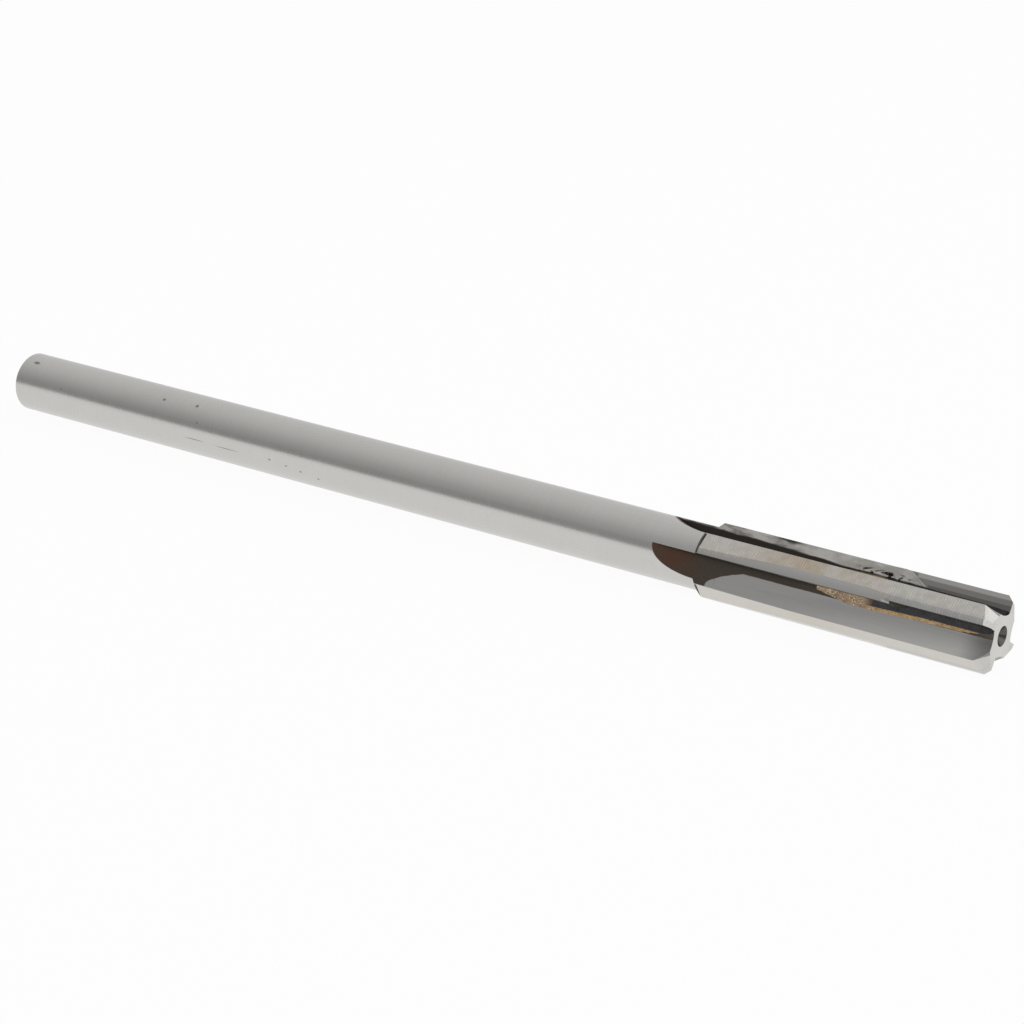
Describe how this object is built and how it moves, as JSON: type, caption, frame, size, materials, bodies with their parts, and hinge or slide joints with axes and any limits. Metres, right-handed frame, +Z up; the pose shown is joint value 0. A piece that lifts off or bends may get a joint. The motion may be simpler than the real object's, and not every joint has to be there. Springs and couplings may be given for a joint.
{
  "type": "machine reamer",
  "caption": "Straight-flute machine reamer with brazed carbide tips, relieved lands and a plain straight shank, for finishing drilled holes to size.",
  "frame": {"origin": "centre of the shank's rear face, on the tool's axis", "axes": "+X along the axis towards the cutting end, +Z up as the tool lies on one cutting edge and the heel beside it"},
  "size_m": [0.1778, 0.01, 0.01],
  "materials": {
    "ground_steel": "cylindrically ground tool steel with fine grinding lines; flutes dark brown from heat treatment where they are not ground",
    "carbide": "tungsten carbide, finely ground, a darker and more even grey than the steel",
    "braze": "dull yellow silver-solder bead, speckled, with dark flux marks"
  },
  "bodies": {
    "root": {"reamer_body": "ground_steel", "carbide_tip_1": "carbide", "carbide_tip_2": "carbide", "carbide_tip_3": "carbide", "carbide_tip_4": "carbide", "braze_fillet_1": "braze", "braze_fillet_2": "braze", "braze_fillet_3": "braze", "braze_fillet_4": "braze"}
  },
  "joints": []
}
